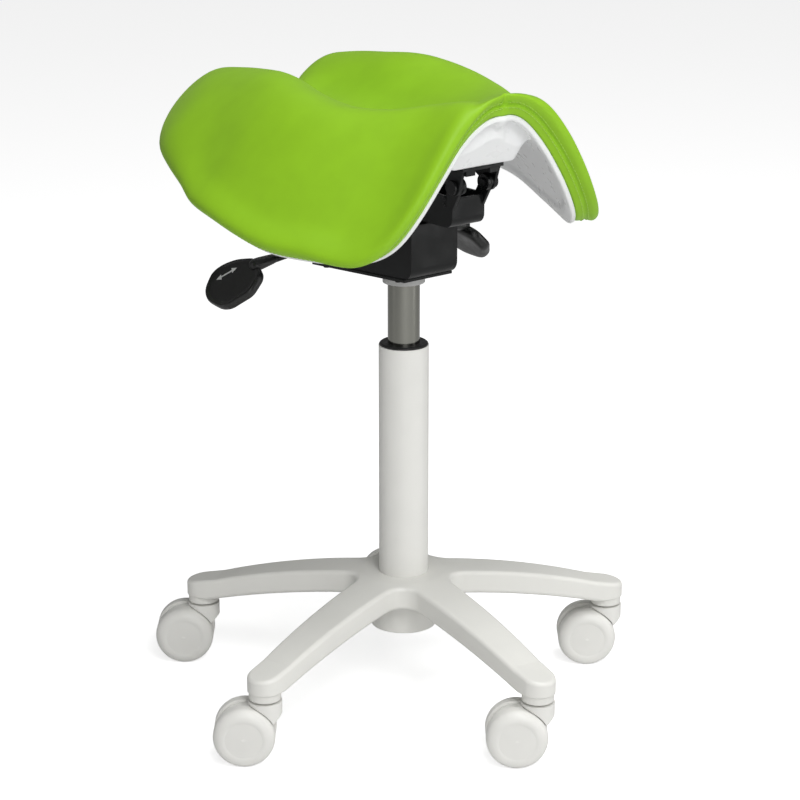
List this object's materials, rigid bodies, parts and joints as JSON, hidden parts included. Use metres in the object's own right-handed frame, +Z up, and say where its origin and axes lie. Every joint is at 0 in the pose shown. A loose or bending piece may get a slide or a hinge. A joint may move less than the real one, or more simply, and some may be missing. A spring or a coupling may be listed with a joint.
{
  "type": "saddle stool",
  "caption": "Saddle stool: padded split saddle on a tilting sheet-steel mechanism, gas-lift column and five-armed base with twin-wheel castors.",
  "frame": {"origin": "on the floor under the column's axis", "axes": "+Z up; the rider faces -Y and the rider's left is +X"},
  "size_m": [0.4921, 0.4779, 0.6363],
  "materials": {
    "base_coat": "light warm grey powder coat on cast aluminium",
    "column_coat": "light warm grey powder coat",
    "castor_plastic": "light warm grey moulded nylon",
    "black_nylon": "black guide bush",
    "bare_steel": "plain steel",
    "chrome_tube": "polished chrome",
    "grey_collar": "light grey collar",
    "black_steel": "black satin powder coat",
    "black_fastener": "blackened steel",
    "lever_plastic": "black satin moulded plastic",
    "white_shell": "white satin moulded shell",
    "green_upholstery": "lime green upholstery, smooth and slightly stretchy",
    "green_seam": "lime green sewn strip"
  },
  "bodies": {
    "base": {"star_base": "base_coat", "column_tube": "column_coat", "guide_bush": "black_nylon", "thrust_bearing": "bare_steel", "castor_stem_1": "bare_steel", "castor_stem_2": "bare_steel", "castor_stem_3": "bare_steel", "castor_stem_4": "bare_steel", "castor_stem_5": "bare_steel"},
    "gas_rod": {"piston_rod": "bare_steel", "rod_clip": "bare_steel"},
    "lift": {"gas_cylinder": "chrome_tube", "column_collar": "grey_collar", "mechanism_housing": "black_steel", "housing_base_plate": "black_steel", "base_plate_screws": "black_fastener", "bracket_spacer": "black_steel", "tilt_bracket": "black_steel", "bracket_rivets": "black_fastener", "pivot_bolts": "black_fastener", "pivot_nuts": "black_fastener", "lever_pivot_pins": "bare_steel", "friction_discs": "bare_steel", "disc_springs": "bare_steel", "pressure_plate": "bare_steel", "clamp_pin": "bare_steel"},
    "valve": {"valve_button": "bare_steel"},
    "height_lever_arm": {"height_lever": "black_steel", "height_paddle": "lever_plastic", "release_finger": "bare_steel"},
    "tilt_lever_arm": {"tilt_lever": "black_steel", "tilt_paddle": "lever_plastic", "tilt_cam": "bare_steel"},
    "seat": {"mounting_plate": "black_steel", "tilt_lock_link": "bare_steel", "seat_shell": "white_shell", "seat_pad": "green_upholstery", "seam_band": "green_seam", "seat_screws": "black_fastener"},
    "castor_1": {"castor_body_1": "castor_plastic", "castor_axle_1": "bare_steel"},
    "wheel_left_1": {"castor_wheel_left_1": "castor_plastic"},
    "wheel_right_1": {"castor_wheel_right_1": "castor_plastic"},
    "castor_2": {"castor_body_2": "castor_plastic", "castor_axle_2": "bare_steel"},
    "wheel_left_2": {"castor_wheel_left_2": "castor_plastic"},
    "wheel_right_2": {"castor_wheel_right_2": "castor_plastic"},
    "castor_3": {"castor_body_3": "castor_plastic", "castor_axle_3": "bare_steel"},
    "wheel_left_3": {"castor_wheel_left_3": "castor_plastic"},
    "wheel_right_3": {"castor_wheel_right_3": "castor_plastic"},
    "castor_4": {"castor_body_4": "castor_plastic", "castor_axle_4": "bare_steel"},
    "wheel_left_4": {"castor_wheel_left_4": "castor_plastic"},
    "wheel_right_4": {"castor_wheel_right_4": "castor_plastic"},
    "castor_5": {"castor_body_5": "castor_plastic", "castor_axle_5": "bare_steel"},
    "wheel_left_5": {"castor_wheel_left_5": "castor_plastic"},
    "wheel_right_5": {"castor_wheel_right_5": "castor_plastic"}
  },
  "joints": [
    {"name": "seat_swivel", "type": "hinge", "parent": "base", "child": "gas_rod", "pos_m": [0, 0, 0.0796], "axis": [0, 0, 1], "continuous": true},
    {"name": "height_slide", "type": "slide", "parent": "gas_rod", "child": "lift", "axis": [0, 0, 1], "range_m": [-0.055, 0.075]},
    {"name": "seat_tilt", "type": "hinge", "parent": "lift", "child": "seat", "pos_m": [0, -0.102, 0.547], "axis": [1, 0, 0], "range_deg": [-4, 6]},
    {"name": "height_lever_pull", "type": "hinge", "parent": "lift", "child": "height_lever_arm", "pos_m": [-0.0195, 0.065, 0.47], "axis": [0, 1, 0], "range_deg": [0, 7], "stiffness_Nm_per_rad": 1.2, "springref_deg": -14.32},
    {"name": "valve_press", "type": "slide", "parent": "lift", "child": "valve", "axis": [0, 0, -1], "range_m": [0, 0.003], "stiffness_N_per_m": 200, "springref_m": -0.004},
    {"name": "tilt_lever_pull", "type": "hinge", "parent": "lift", "child": "tilt_lever_arm", "pos_m": [0.0195, 0.065, 0.47], "axis": [0, -1, 0], "range_deg": [0, 7], "stiffness_Nm_per_rad": 1.2, "springref_deg": -14.32},
    {"name": "castor_swivel_1", "type": "hinge", "parent": "base", "child": "castor_1", "pos_m": [-0.01427, -0.22254, 0.0634], "axis": [0, 0, 1], "continuous": true},
    {"name": "wheel_left_spin_1", "type": "hinge", "parent": "castor_1", "child": "wheel_left_1", "pos_m": [-0.02982, -0.20996, 0.03], "axis": [-0.6293, -0.7771, 0], "continuous": true},
    {"name": "wheel_right_spin_1", "type": "hinge", "parent": "castor_1", "child": "wheel_right_1", "pos_m": [-0.02982, -0.20996, 0.03], "axis": [-0.6293, -0.7771, 0], "continuous": true},
    {"name": "castor_swivel_2", "type": "hinge", "parent": "base", "child": "castor_2", "pos_m": [0.20724, -0.08235, 0.0634], "axis": [0, 0, 1], "continuous": true},
    {"name": "wheel_left_spin_2", "type": "hinge", "parent": "castor_2", "child": "wheel_left_2", "pos_m": [0.1917, -0.06976, 0.03], "axis": [-0.6293, -0.7771, 0], "continuous": true},
    {"name": "wheel_right_spin_2", "type": "hinge", "parent": "castor_2", "child": "wheel_right_2", "pos_m": [0.1917, -0.06976, 0.03], "axis": [-0.6293, -0.7771, 0], "continuous": true},
    {"name": "castor_swivel_3", "type": "hinge", "parent": "base", "child": "castor_3", "pos_m": [0.14236, 0.17165, 0.0634], "axis": [0, 0, 1], "continuous": true},
    {"name": "wheel_left_spin_3", "type": "hinge", "parent": "castor_3", "child": "wheel_left_3", "pos_m": [0.12681, 0.18424, 0.03], "axis": [-0.6293, -0.7771, 0], "continuous": true},
    {"name": "wheel_right_spin_3", "type": "hinge", "parent": "castor_3", "child": "wheel_right_3", "pos_m": [0.12681, 0.18424, 0.03], "axis": [-0.6293, -0.7771, 0], "continuous": true},
    {"name": "castor_swivel_4", "type": "hinge", "parent": "base", "child": "castor_4", "pos_m": [-0.11926, 0.18843, 0.0634], "axis": [0, 0, 1], "continuous": true},
    {"name": "wheel_left_spin_4", "type": "hinge", "parent": "castor_4", "child": "wheel_left_4", "pos_m": [-0.1348, 0.20102, 0.03], "axis": [-0.6293, -0.7771, 0], "continuous": true},
    {"name": "wheel_right_spin_4", "type": "hinge", "parent": "castor_4", "child": "wheel_right_4", "pos_m": [-0.1348, 0.20102, 0.03], "axis": [-0.6293, -0.7771, 0], "continuous": true},
    {"name": "castor_swivel_5", "type": "hinge", "parent": "base", "child": "castor_5", "pos_m": [-0.21606, -0.05519, 0.0634], "axis": [0, 0, 1], "continuous": true},
    {"name": "wheel_left_spin_5", "type": "hinge", "parent": "castor_5", "child": "wheel_left_5", "pos_m": [-0.23161, -0.04261, 0.03], "axis": [-0.6293, -0.7771, 0], "continuous": true},
    {"name": "wheel_right_spin_5", "type": "hinge", "parent": "castor_5", "child": "wheel_right_5", "pos_m": [-0.23161, -0.04261, 0.03], "axis": [-0.6293, -0.7771, 0], "continuous": true}
  ],
  "couplings": [
    {"joint": "valve_press", "follows": "height_lever_pull", "m_per_rad": 0.024}
  ]
}
